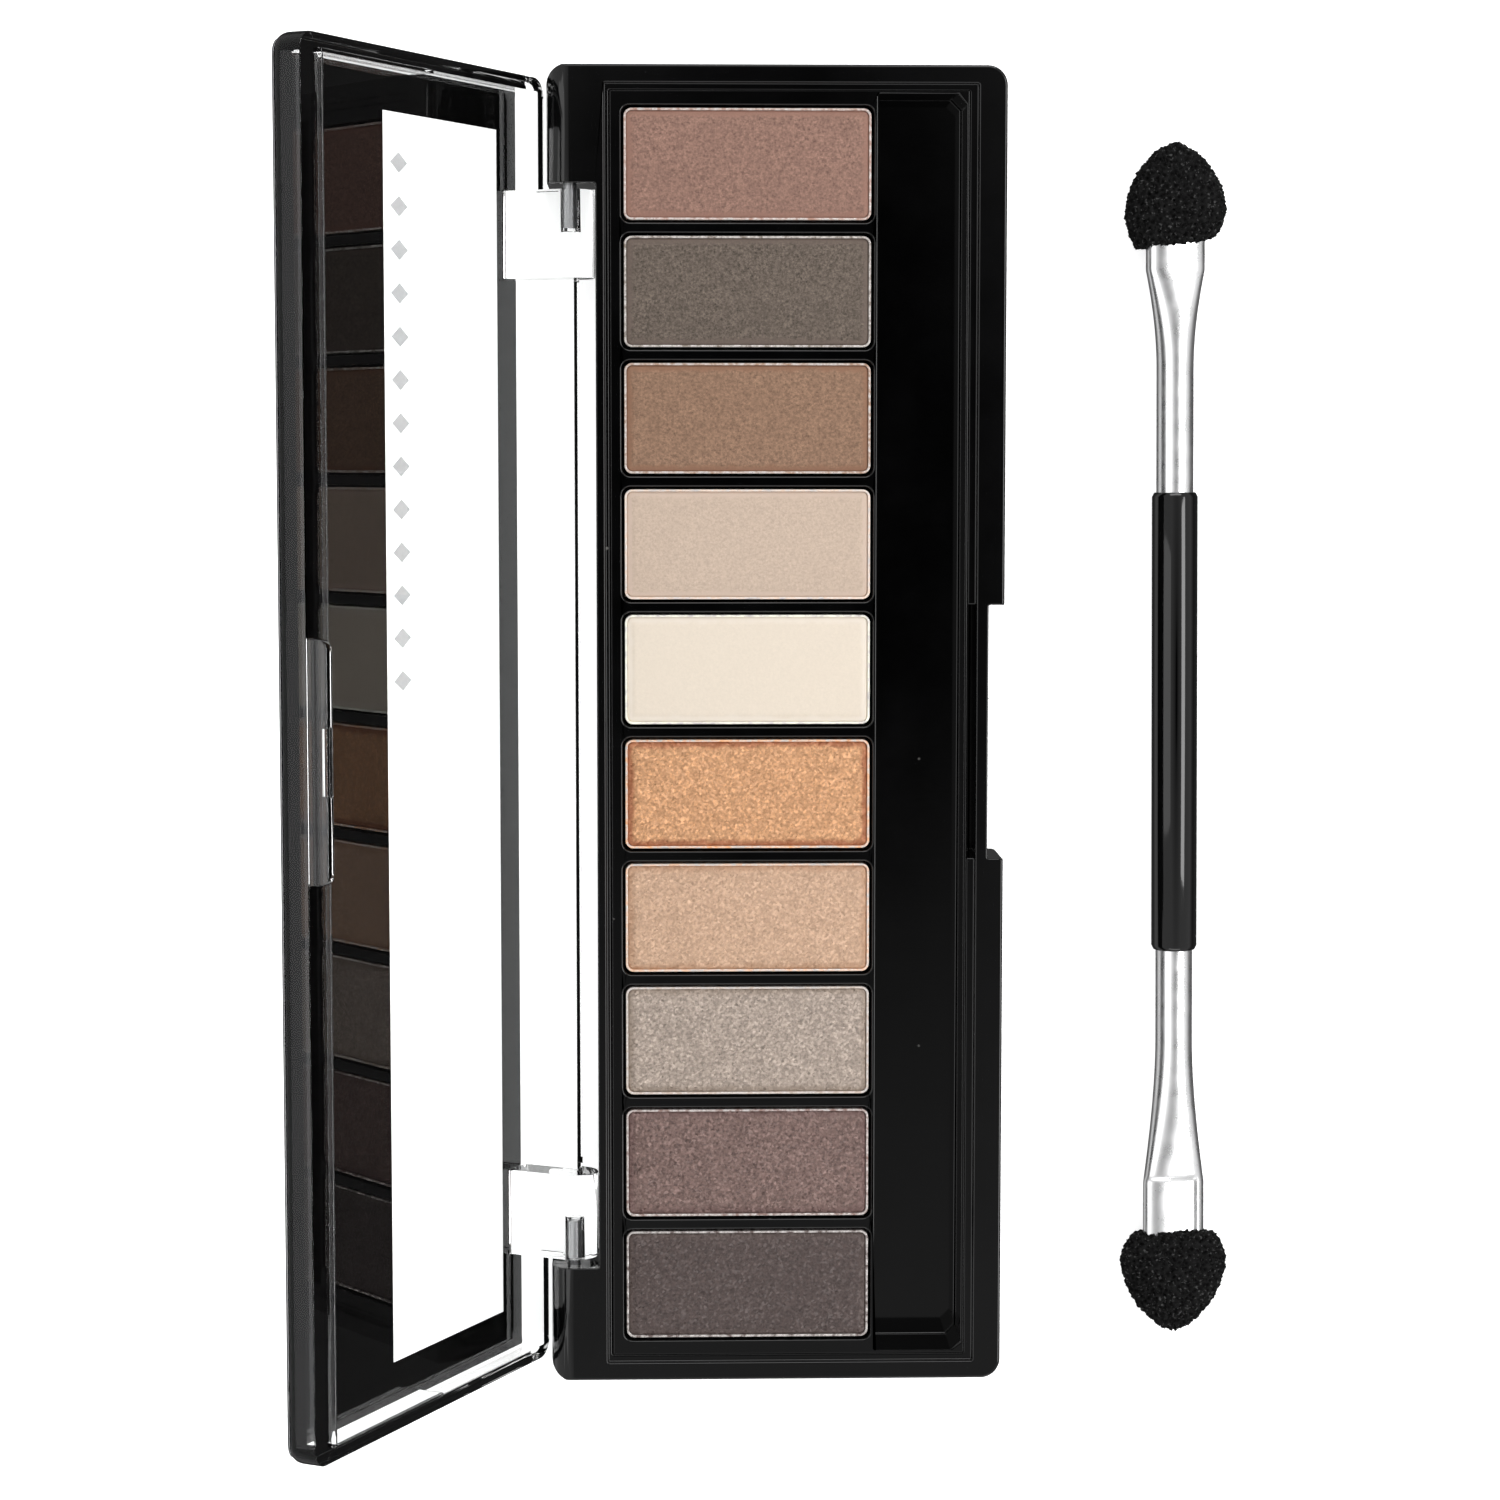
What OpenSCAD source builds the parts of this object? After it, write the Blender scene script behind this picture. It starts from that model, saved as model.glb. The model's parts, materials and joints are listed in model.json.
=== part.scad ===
// Ten-pan eyeshadow palette: a black case with a clear hinged lid, pressed powders in
// metal pans, and a loose double-ended foam applicator that stows in the case.
// Millimetres. The origin is the centre of the case's underside, +Z is up, +Y runs
// along the row of pans and -X is the hinge side.

/* [Case] */
// Length of the case along the row of pans
case_length = 148; // [146:0.5:152]
// Width of the case from hinge side to front
case_width = 51.1; // [50.6:0.1:52]
// Height of the base alone
base_height = 10.2; // [9.8:0.1:11]
// Plan radius of the case corners
corner_radius = 2.2; // [1.8:0.1:3]
// Thickness of the base floor
floor_thickness = 1.4; // [1:0.1:1.6]

/* [Lid] */
// Height of the closed lid above the base rim
lid_height = 3.9; // [3.6:0.1:5]
// Thickness of the lid's flat panel
panel_thickness = 1.4; // [1:0.1:1.8]
// Angle between the closed lid and the lid as it stands open
open_angle = 116.4; // [0:0.1:116.4]

/* [Hinge] */
// Distance of the hinge axis from the case's rear face
hinge_inset = 2.55; // [2.5:0.05:2.6]
// Height of the hinge axis above the table
hinge_height = 5.6; // [5.5:0.1:5.8]
// Diameter of the steel hinge pins
pin_diameter = 1.5; // [1.2:0.1:1.8]
// Radial running clearance of the pins in the lid's knuckles
pin_clearance = 0.05; // [0.02:0.01:0.1]

/* [Pans] */
// Number of pans in the row
pan_count = 10; // [10:1:10]
// Distance from one pan's centre to the next
pan_pitch = 14.04; // [13.9:0.01:14.06]
// Size of a pan across the case
pan_width = 27.5; // [26:0.1:27.6]
// Size of a pan along the row
pan_length = 12.3; // [11.5:0.1:12.4]
// Height of a pan
pan_height = 3; // [2.4:0.1:3.2]

/* [Applicator] */
// Diameter of the handle tube
handle_diameter = 5.2; // [4.6:0.1:5.4]
// Diameter of the round part of the stems
stem_diameter = 4.2; // [3.6:0.1:4.4]
// Thickness of the foam tips
sponge_thickness = 5.6; // [5.3:0.1:5.8]
// Width of the foam tips once they are pressed into the trough
sponge_width = 8.1; // [7.6:0.1:8.2]

/* [Hidden] */
$fn = 64;

// Overshoot of a cutting shape past the face that it cuts
cut = 1;
// Small gap between pieces that only lie against each other
gap = 0.05;

// Case
half_width = case_width / 2;
half_length = case_length / 2;
base_edge_radius = 1;
rim_edge_radius = 0.3;
ledge_drop = 0.8;
ledge_height = base_height - ledge_drop;
rim_left = -19.15;
rim_right = 22.4;
rim_half_length = half_length - 2;
tray_cavity_left = -18.65;
tray_cavity_right = 21.5;
tray_cavity_half_length = half_length - 2.7;

// Hinge recess in the rear of the base, and the ears that are left beside it
hinge_x = -half_width + hinge_inset;
recess_right = -20.15;
ear_inner = 61;
ear_edge_radius = 2.5;
pin_press_depth = 5;

// Thumb notch, its flexing wall and the detent that the lid's nub drops into
notch_wall = 23.75;
notch_half_length = 14.3;
detent_radius = 0.5;
detent_depth = 0.3;
detent_length = 7.4;
nub_height = 8.6;

// Label on the underside
label_size = [30, 92];
label_recess = 0.15;
label_thickness = 0.1;

// Tray with the wells and the applicator's trough
tray_top = ledge_height;
tray_bottom = floor_thickness + gap;
tray_left = tray_cavity_left + gap;
tray_right = tray_cavity_right - gap;
tray_half_length = tray_cavity_half_length - gap;
well_centre_x = -3.25;
well_gap = 0.3;
well_corner_radius = 1;
pan_top = tray_top - 0.3;
pan_bottom = pan_top - pan_height;
glue_thickness = 0.15;
well_floor = pan_bottom - glue_thickness;
tray_skin = 0.8;
trough_left = 11.25;
trough_right = 21.05;
trough_half_length = 70.9;
trough_floor = tray_bottom + 0.5;
trough_chamfer = 1.1;
tray_hollow_count = 5;
tray_rib = 1;

// Pans and powders
pan_wall = 0.25;
pan_corner_radius = 0.9;
powder_gap = 0.02;
powder_edge_chamfer = 0.25;
powder_colours = [
    "#98786d", "#6b655b", "#876c58", "#cfbba8", "#ece1d0",
    "#cd9b67", "#c8a583", "#a0968a", "#78645f", "#5a504c"
];

// Lid, drawn closed and then turned about the hinge
lid_length = case_length - 1.5;
lid_bottom = base_height + gap;
lid_top = base_height + lid_height;
lid_edge_radius = 1.5;
lid_ceiling = lid_top - panel_thickness;
lid_front_wall = 3.25;
lid_rear_wall = 1.5;
lid_end_wall = 1.55;
lid_inner_left = -half_width + lid_rear_wall;
lid_inner_right = half_width - lid_front_wall;
lid_inner_half_length = lid_length / 2 - lid_end_wall;
rear_skirt_bottom = hinge_height + 0.2;
lip_height = 0.5;
lip_thickness = 0.4;
knuckle_outer = 60.5;
knuckle_length = 9.8;
knuckle_radius = 2.75;
knuckle_bore_depth = 4.7;
pin_end_gap = 0.4;
tab_half_length = 12.55;
tab_drop = 2.3;
tab_inner = half_width - 1.25;
tab_outer = half_width - 0.05;
tab_corner_radius = 1.2;
nub_radius = 0.35;
nub_length = 7;

// Print on top of the lid's outer face: a black film around a clear window, and a row
// of plain lozenges in the window
film_thickness = 0.1;
film_margin = lid_edge_radius + 0.05;
window_left = -19.95;
window_right = 4.65;
window_half_length = 67.25;
motif_count = 13;
motif_pitch = 4.6;
motif_first_y = 62;
motif_x = 1.4;
motif_long = 3.6;
motif_short = 2.2;

// Applicator, drawn along +Y about its own centre
applicator_place = [45.9, -2.3, sponge_thickness / 2 + gap];
applicator_yaw = 0.5;
handle_upper_end = 29.1;
handle_lower_end = -23.4;
handle_lip = 0.5;
stem_insert = 12;
upper_flare_start = 41.1;
lower_flare_start = 42.3;
sponge_start_upper = 57;
sponge_start_lower = 56.2;
sponge_end = 67.8;
ferrule_width = 6.9;
ferrule_thickness = 3;
tongue_width = 5;
tongue_thickness = 1.6;
tongue_length = 6.5;

// ---------------------------------------------------------------- shared shapes

// Area outside a rounded corner of radius r, whose sharp corner is at the origin and
// whose material lies at -x and +y
module corner_waste(r) {
    difference() {
        translate([-r, -cut])
            square([r + cut, r + cut]);
        translate([-r, r])
            circle(r);
    }
}

// Half of a block's cross-section, with a rounded bottom edge and a rounded top edge
module half_section(half, height, r_bottom, r_top) {
    difference() {
        square([half, height]);
        if (r_bottom > 0)
            translate([half, 0])
                corner_waste(r_bottom);
        if (r_top > 0)
            translate([half, height])
                mirror([0, 1])
                    corner_waste(r_top);
    }
}

module full_section(half, height, r_bottom, r_top) {
    half_section(half, height, r_bottom, r_top);
    mirror([1, 0])
        half_section(half, height, r_bottom, r_top);
}

// Block standing on z = 0 with rounded plan corners, bottom edges and top edges
module soft_block(size_x, size_y, height, r_plan, r_bottom, r_top) {
    rotate([90, 0, 0])
        linear_extrude(size_y - 2 * r_plan, center = true)
            full_section(size_x / 2, height, r_bottom, r_top);
    rotate([90, 0, 90])
        linear_extrude(size_x - 2 * r_plan, center = true)
            full_section(size_y / 2, height, r_bottom, r_top);
    for (sx = [-1, 1], sy = [-1, 1])
        translate([sx * (size_x / 2 - r_plan), sy * (size_y / 2 - r_plan), 0])
            rotate_extrude()
                half_section(r_plan, height, r_bottom, r_top);
}

// Upright block with rounded plan corners, centred on the origin
module plan_block(size_x, size_y, height, r) {
    linear_extrude(height)
        rounded_rectangle(size_x, size_y, r);
}

module rounded_rectangle(size_x, size_y, r) {
    square([size_x - 2 * r, size_y], center = true);
    square([size_x, size_y - 2 * r], center = true);
    for (sx = [-1, 1], sy = [-1, 1])
        translate([sx * (size_x / 2 - r), sy * (size_y / 2 - r)])
            circle(r);
}

// Box between two corners
module span(low, high) {
    translate(low)
        cube(high - low);
}

// Round bar along Y from y0 to y1
module bar_y(x, z, r, y0, y1) {
    translate([x, y0, z])
        rotate([-90, 0, 0])
            cylinder(r = r, h = y1 - y0);
}

// Both ends of the case, the second one mirrored
module both_ends() {
    children();
    mirror([0, 1, 0])
        children();
}

function pan_y(index) = ((pan_count - 1) / 2 - index) * pan_pitch;

// ---------------------------------------------------------------- case body

module case_base() {
    color("#111113")
        difference() {
            soft_block(case_width, case_length, base_height, corner_radius,
                base_edge_radius, rim_edge_radius);
            span([tray_cavity_left, -tray_cavity_half_length, floor_thickness],
                [tray_cavity_right, tray_cavity_half_length, base_height + cut]);
            span([rim_left, -rim_half_length, ledge_height],
                [rim_right, rim_half_length, base_height + cut]);
            // Slot that lets the notch's wall flex
            span([tray_cavity_right - cut, -notch_half_length, floor_thickness],
                [rim_right, notch_half_length, base_height + cut]);
            // Recess for the lid's knuckles and rear wall
            span([-half_width - cut, -ear_inner, -cut],
                [recess_right, ear_inner, base_height + cut]);
            // Thumb notch
            span([notch_wall, -notch_half_length, -cut],
                [half_width + cut, notch_half_length, base_height + cut]);
            bar_y(notch_wall - detent_depth + detent_radius, nub_height, detent_radius,
                -detent_length / 2, detent_length / 2);
            both_ends() {
                bar_y(hinge_x, hinge_height, pin_diameter / 2,
                    ear_inner - cut, ear_inner + pin_press_depth);
                ear_edge_waste();
            }
            translate([0, 0, -cut])
                linear_extrude(cut + label_recess)
                    rounded_rectangle(label_size.x + 1, label_size.y + 1, 2);
        }
}

// The rounded rear edge of an ear, which the lid's rear wall swings past
module ear_edge_waste() {
    translate([0, half_length + cut, 0])
        rotate([90, 0, 0])
            linear_extrude(half_length + 2 * cut - ear_inner)
                translate([-half_width, base_height])
                    mirror([0, 1])
                        mirror([1, 0])
                            corner_waste(ear_edge_radius);
}

module pan_tray() {
    color("#17171a")
        difference() {
            span([tray_left, -tray_half_length, tray_bottom],
                [tray_right, tray_half_length, tray_top]);
            for (index = [0 : pan_count - 1])
                translate([well_centre_x, pan_y(index), well_floor])
                    plan_block(pan_width + 2 * well_gap, pan_length + 2 * well_gap,
                        tray_top, well_corner_radius);
            translate([0, 0, trough_floor])
                linear_extrude(tray_top)
                    trough_outline();
            tray_hollows();
        }
}

// Plan of the applicator's trough, with its two front corners cut off
module trough_outline() {
    polygon([
        [trough_left, -trough_half_length],
        [trough_right - trough_chamfer, -trough_half_length],
        [trough_right, -trough_half_length + trough_chamfer],
        [trough_right, trough_half_length - trough_chamfer],
        [trough_right - trough_chamfer, trough_half_length],
        [trough_left, trough_half_length]
    ]);
}

// The tray is moulded hollow under its wells
module tray_hollows() {
    pitch = (2 * tray_half_length - tray_rib) / tray_hollow_count;
    for (index = [0 : tray_hollow_count - 1])
        span([tray_left + tray_rib, -tray_half_length + tray_rib + index * pitch,
                tray_bottom - cut],
            [trough_left - tray_skin, -tray_half_length + (index + 1) * pitch,
                well_floor - tray_skin]);
}

// Shallow pressed-metal pan
module pan(index) {
    color("#c9c6c2")
        translate([well_centre_x, pan_y(index), pan_bottom])
            difference() {
                plan_block(pan_width, pan_length, pan_height, pan_corner_radius);
                translate([0, 0, pan_wall])
                    plan_block(pan_width - 2 * pan_wall, pan_length - 2 * pan_wall,
                        pan_height, pan_corner_radius - pan_wall);
            }
}

// Cake of powder pressed into its pan, bevelled round the top
module powder(index) {
    inset = pan_wall + powder_gap;
    size_x = pan_width - 2 * inset;
    size_y = pan_length - 2 * inset;
    cake = pan_height - pan_wall - powder_gap;
    color(powder_colours[index])
        translate([well_centre_x, pan_y(index), pan_bottom + pan_wall])
            difference() {
                plan_block(size_x, size_y, cake, pan_corner_radius - inset);
                for (side = [-1, 1]) {
                    translate([0, side * size_y / 2, cake])
                        rotate([45, 0, 0])
                            cube([size_x + cut, powder_edge_chamfer,
                                powder_edge_chamfer], center = true);
                    translate([side * size_x / 2, 0, cake])
                        rotate([0, 45, 0])
                            cube([powder_edge_chamfer, size_y + cut,
                                powder_edge_chamfer], center = true);
                }
            }
}

// Two flattened drops of glue hold each pan in its well
module pan_glue_dots() {
    color("#d8d2bd")
        for (index = [0 : pan_count - 1], side = [-1, 1])
            translate([well_centre_x + side * 7, pan_y(index), well_floor])
                cylinder(d = 5, h = glue_thickness);
}

// Straight pin, pressed into an ear and running in the lid's knuckle
module hinge_pin() {
    color("#b5b8bc")
        bar_y(hinge_x, hinge_height, pin_diameter / 2,
            knuckle_outer - knuckle_bore_depth + pin_end_gap,
            ear_inner + pin_press_depth);
}

module hinge_pin_upper() {
    hinge_pin();
}

module hinge_pin_lower() {
    mirror([0, 1, 0])
        hinge_pin();
}

module underside_label() {
    color("#e9e8e4")
        translate([0, 0, label_recess - label_thickness])
            plan_block(label_size.x, label_size.y, label_thickness, 1.5);
}

// ---------------------------------------------------------------- lid body

// Turns what is drawn closed to where the lid stands open
module opened() {
    translate([hinge_x, 0, hinge_height])
        rotate([0, -open_angle, 0])
            translate([-hinge_x, 0, -hinge_height])
                children();
}

module lid_shell() {
    color("#e8edf0", 0.35)
        opened()
            difference() {
                union() {
                    difference() {
                        translate([0, 0, lid_bottom])
                            soft_block(case_width, lid_length, lid_top - lid_bottom,
                                corner_radius, 0, lid_edge_radius);
                        span([lid_inner_left, -lid_inner_half_length, lid_bottom - cut],
                            [lid_inner_right, lid_inner_half_length, lid_ceiling]);
                    }
                    span([-half_width, -knuckle_outer, rear_skirt_bottom],
                        [lid_inner_left, knuckle_outer, lid_bottom + cut]);
                    both_ends()
                        knuckle();
                    registration_lip();
                    latch_tab();
                }
                both_ends()
                    bar_y(hinge_x, hinge_height, pin_diameter / 2 + pin_clearance,
                        knuckle_outer - knuckle_bore_depth, knuckle_outer + cut);
            }
}

// Solid block from the lid's panel down round the hinge axis, which stays inside the
// rounding of the lid's rear edge
module knuckle() {
    y0 = knuckle_outer - knuckle_length;
    front = hinge_x + knuckle_radius;
    bar_y(hinge_x, hinge_height, knuckle_radius, y0, knuckle_outer);
    span([-half_width, y0, hinge_height], [front, knuckle_outer, lid_top - lid_edge_radius]);
    span([lid_inner_left - lid_rear_wall / 3, y0, lid_bottom],
        [front, knuckle_outer, lid_ceiling + panel_thickness / 2]);
}

// Low rib that drops inside the base's rim when the lid shuts
module registration_lip() {
    inner_end = lid_inner_half_length;
    span([lid_inner_right - lip_thickness, -inner_end, lid_bottom - lip_height],
        [lid_inner_right, inner_end, lid_ceiling]);
    both_ends()
        span([0, inner_end - lip_thickness, lid_bottom - lip_height],
            [lid_inner_right, inner_end, lid_ceiling]);
}

// Tab that reaches down into the thumb notch, with its catch nub
module latch_tab() {
    translate([tab_inner, 0, 0])
        rotate([90, 0, 90])
            linear_extrude(tab_outer - tab_inner)
                difference() {
                    translate([-tab_half_length, lid_bottom - tab_drop])
                        square([2 * tab_half_length, tab_drop + cut]);
                    for (flip = [0, 1])
                        mirror([flip, 0])
                            translate([tab_half_length, lid_bottom - tab_drop])
                                corner_waste(tab_corner_radius);
                }
    bar_y(tab_inner, nub_height, nub_radius, -nub_length / 2, nub_length / 2);
}

module film_outline() {
    difference() {
        rounded_rectangle(case_width - 2 * film_margin, lid_length - 2 * film_margin, 1);
        translate([window_left, -window_half_length])
            square([window_right - window_left, 2 * window_half_length]);
    }
}

module lid_print() {
    color("#0b0b0c")
        opened()
            translate([0, 0, lid_top])
                linear_extrude(film_thickness)
                    film_outline();
}

module motif_outline() {
    for (index = [0 : motif_count - 1])
        translate([motif_x, motif_first_y - index * motif_pitch])
            polygon([
                [-motif_long / 2, 0], [0, -motif_short / 2],
                [motif_long / 2, 0], [0, motif_short / 2]
            ]);
}

module lid_motif() {
    color("#c4c6c8")
        opened()
            translate([0, 0, lid_top])
                linear_extrude(film_thickness)
                    motif_outline();
}

// ---------------------------------------------------------------- applicator body

// Puts what is drawn along +Y about its own centre on the table beside the case
module laid_out() {
    translate(applicator_place)
        rotate([0, 0, applicator_yaw])
            children();
}

// Tube with turned-in lips at both ends
module applicator_handle() {
    outer = handle_diameter / 2;
    inner = stem_diameter / 2;
    color("#0e0e10")
        laid_out()
            rotate([-90, 0, 0])
                rotate_extrude()
                    polygon([
                        [inner, handle_lower_end],
                        [outer - handle_lip / 2, handle_lower_end],
                        [outer, handle_lower_end + handle_lip],
                        [outer, handle_upper_end - handle_lip],
                        [outer - handle_lip / 2, handle_upper_end],
                        [inner, handle_upper_end]
                    ]);
}

// Flat tongue that the foam is glued to, centred on the axis
module tongue(start) {
    translate([-tongue_width / 2, start - cut, -tongue_thickness / 2])
        cube([tongue_width, tongue_length + cut, tongue_thickness]);
}

// Round shank, a flare that flattens, and the tongue, pointing along +Y
module stem(inner_end, flare_start, flare_end) {
    rotate([-90, 0, 0])
        translate([0, 0, inner_end])
            cylinder(d = stem_diameter, h = flare_start - inner_end);
    hull() {
        rotate([-90, 0, 0])
            translate([0, 0, flare_start])
                cylinder(d = stem_diameter, h = 0.01, $fn = 32);
        for (side = [-1, 1])
            translate([side * (ferrule_width - ferrule_thickness) / 2, 0, 0])
                rotate([-90, 0, 0])
                    translate([0, 0, flare_end - 0.01])
                        cylinder(d = ferrule_thickness, h = 0.01, $fn = 32);
    }
    tongue(flare_end);
}

module applicator_stem_upper() {
    color("#c3c6c9")
        laid_out()
            stem(handle_upper_end - stem_insert, upper_flare_start, sponge_start_upper);
}

module applicator_stem_lower() {
    color("#c3c6c9")
        laid_out()
            rotate([0, 0, 180])
                stem(-handle_lower_end - stem_insert, lower_flare_start,
                    sponge_start_lower);
}

// Half outline of a foam tip against its share of the length, 0 at the stem and 1 at
// the point, blunt at the stem and drawn out to a rounded point
function tip_half(share) = pow(sin(180 * pow(share, 0.62)), 0.62);

// Foam tip pointing along +Y: the plan outline carried over an oval cross-section
module sponge(start) {
    steps = 16;
    length = sponge_end - start;
    first = 0.06;
    shares = [for (step = [0 : steps]) first + (1 - first) * step / steps];
    half = sponge_width / 2;
    widest = max([for (share = shares) tip_half(share)]);
    difference() {
        intersection() {
            translate([0, 0, -sponge_thickness])
                linear_extrude(2 * sponge_thickness)
                    polygon(concat(
                        [for (share = shares)
                            [half * tip_half(share) / widest,
                                start + length * (share - first) / (1 - first)]],
                        [for (step = [steps - 1 : -1 : 0])
                            [-half * tip_half(shares[step]) / widest,
                                start + length * (shares[step] - first) / (1 - first)]]
                    ));
            rotate([-90, 0, 0])
                translate([0, 0, start])
                    linear_extrude(length)
                        polygon([for (turn = [0 : 15 : 345])
                            [half * cos(turn), sponge_thickness / 2 * sin(turn)]]);
        }
        tongue(start);
    }
}

module applicator_sponge_upper() {
    color("#141414")
        laid_out()
            sponge(sponge_start_upper);
}

module applicator_sponge_lower() {
    color("#141414")
        laid_out()
            rotate([0, 0, 180])
                sponge(sponge_start_lower);
}

case_base();
pan_tray();
pan(0);  // pan_01
pan(1);  // pan_02
pan(2);  // pan_03
pan(3);  // pan_04
pan(4);  // pan_05
pan(5);  // pan_06
pan(6);  // pan_07
pan(7);  // pan_08
pan(8);  // pan_09
pan(9);  // pan_10
powder(0);  // powder_01
powder(1);  // powder_02
powder(2);  // powder_03
powder(3);  // powder_04
powder(4);  // powder_05
powder(5);  // powder_06
powder(6);  // powder_07
powder(7);  // powder_08
powder(8);  // powder_09
powder(9);  // powder_10
pan_glue_dots();
hinge_pin_upper();
hinge_pin_lower();
underside_label();
lid_shell();
lid_print();
lid_motif();
applicator_handle();
applicator_stem_upper();
applicator_stem_lower();
applicator_sponge_upper();
applicator_sponge_lower();
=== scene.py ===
"""Looks of a ten-pan eyeshadow palette with a clear hinged lid and a foam applicator.

Metres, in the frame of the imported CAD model: +Z up, +Y along the row of pans, -X the
hinge side. The lid's own pieces are worked out for the shut lid and then turned open.
"""

import json
import math
import random

import bpy
from mathutils import Matrix, Vector, geometry, noise


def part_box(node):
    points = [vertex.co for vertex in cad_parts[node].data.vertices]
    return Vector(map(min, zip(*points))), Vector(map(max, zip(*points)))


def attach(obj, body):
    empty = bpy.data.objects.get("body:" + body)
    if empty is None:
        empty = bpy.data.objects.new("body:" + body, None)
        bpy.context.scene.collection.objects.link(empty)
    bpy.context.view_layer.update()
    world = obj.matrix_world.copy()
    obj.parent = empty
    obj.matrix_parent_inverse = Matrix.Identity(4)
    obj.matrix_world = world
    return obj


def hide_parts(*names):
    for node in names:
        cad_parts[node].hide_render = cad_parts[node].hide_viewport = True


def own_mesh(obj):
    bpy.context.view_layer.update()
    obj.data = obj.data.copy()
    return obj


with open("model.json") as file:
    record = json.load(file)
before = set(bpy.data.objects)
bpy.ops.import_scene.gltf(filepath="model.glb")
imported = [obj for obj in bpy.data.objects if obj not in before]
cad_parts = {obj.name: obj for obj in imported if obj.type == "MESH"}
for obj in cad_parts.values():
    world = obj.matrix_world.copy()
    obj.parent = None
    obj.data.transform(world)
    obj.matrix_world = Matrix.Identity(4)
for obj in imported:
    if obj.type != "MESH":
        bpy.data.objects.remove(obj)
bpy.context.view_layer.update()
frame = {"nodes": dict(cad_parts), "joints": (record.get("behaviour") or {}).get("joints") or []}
scene = bpy.context.scene
nodes = frame["nodes"]

MM = 0.001

# ------------------------------------------------------------------ sizes

PAN_COUNT = 10

LID_JOINT = next(joint for joint in frame["joints"] if joint["name"] == "lid_hinge")
HINGE = Vector(LID_JOINT["pos_m"])
OPEN_ANGLE = math.radians(LID_JOINT["range_deg"][1])
OPENING = (
    Matrix.Translation(HINGE)
    @ Matrix.Rotation(-OPEN_ANGLE, 4, "Y")
    @ Matrix.Translation(-HINGE)
)

LID_PLAN_RADIUS = 2.2 * MM
LID_EDGE_RADIUS = 1.5 * MM
# How far the print wraps over the lid's rounded front edge
PRINT_WRAP = math.radians(53)
# Share of that wrap over the front edge, one end, the rear edge, the other end and again
# the front edge
WRAP_SHARES = (1.0, 0.65, 0.08, 0.65, 1.0)
PRINT_PROUD = 0.05 * MM
PRINT_SUNK = 0.02 * MM
WINDOW_LEFT = -19.95 * MM
WINDOW_RIGHT = 4.65 * MM
WINDOW_HALF_LENGTH = 67.25 * MM

MOTIF_COUNT = 13
MOTIF_PITCH = 4.6 * MM
MOTIF_FIRST_Y = 62 * MM
MOTIF_X = 1.4 * MM
MOTIF_LONG = 3.6 * MM
MOTIF_SHORT = 2.2 * MM

# Where the applicator lies on the table
APPLICATOR_YAW = math.radians(0.5)
APPLICATOR_PLACE = Vector((45.9, -2.3, 2.85)) * MM
LAID_OUT = Matrix.Translation(APPLICATOR_PLACE) @ Matrix.Rotation(APPLICATOR_YAW, 4, "Z")
STEM_RADIUS = 2.1 * MM

# ------------------------------------------------------------------ colours


def linear(red, green, blue):
    """Scene-linear colour of an sRGB one given in 0 to 255."""
    channels = []
    for value in (red, green, blue):
        share = value / 255
        low = share / 12.92
        high = ((share + 0.055) / 1.055) ** 2.4
        channels.append(low if share <= 0.04045 else high)
    return (*channels, 1.0)


def scaled(colour, factor):
    """The colour, lighter or darker by a factor."""
    return tuple(min(channel * factor, 1.0) for channel in colour[:3]) + (1.0,)


# Each powder: its colour, the colour of its border, how grainy it is and how much it
# shimmers
POWDERS = [
    {"colour": linear(151, 118, 105), "border": linear(160, 122, 108), "grain": 0.32, "shimmer": 0.0},
    {"colour": linear(108, 97, 88), "border": linear(116, 102, 94), "grain": 0.42, "shimmer": 0.0},
    {"colour": linear(150, 119, 98), "border": linear(150, 112, 90), "grain": 0.30, "shimmer": 0.0},
    {"colour": linear(207, 186, 168), "border": linear(218, 196, 180), "grain": 0.10, "shimmer": 0.0},
    {"colour": linear(237, 224, 207), "border": linear(244, 233, 220), "grain": 0.025, "shimmer": 0.0},
    {"colour": linear(210, 158, 115), "border": linear(168, 100, 66), "grain": 0.17, "shimmer": 0.8},
    {"colour": linear(206, 170, 142), "border": linear(196, 156, 126), "grain": 0.12, "shimmer": 0.55},
    {"colour": linear(173, 158, 146), "border": linear(160, 144, 130), "grain": 0.22, "shimmer": 0.78},
    {"colour": linear(122, 99, 93), "border": linear(118, 92, 88), "grain": 0.30, "shimmer": 0.85},
    {"colour": linear(82, 69, 66), "border": linear(90, 76, 72), "grain": 0.30, "shimmer": 0.6},
]

# The powders' share of those colours under this studio's light
POWDER_SHADE = 0.80

# ------------------------------------------------------------------ material kit


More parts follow.
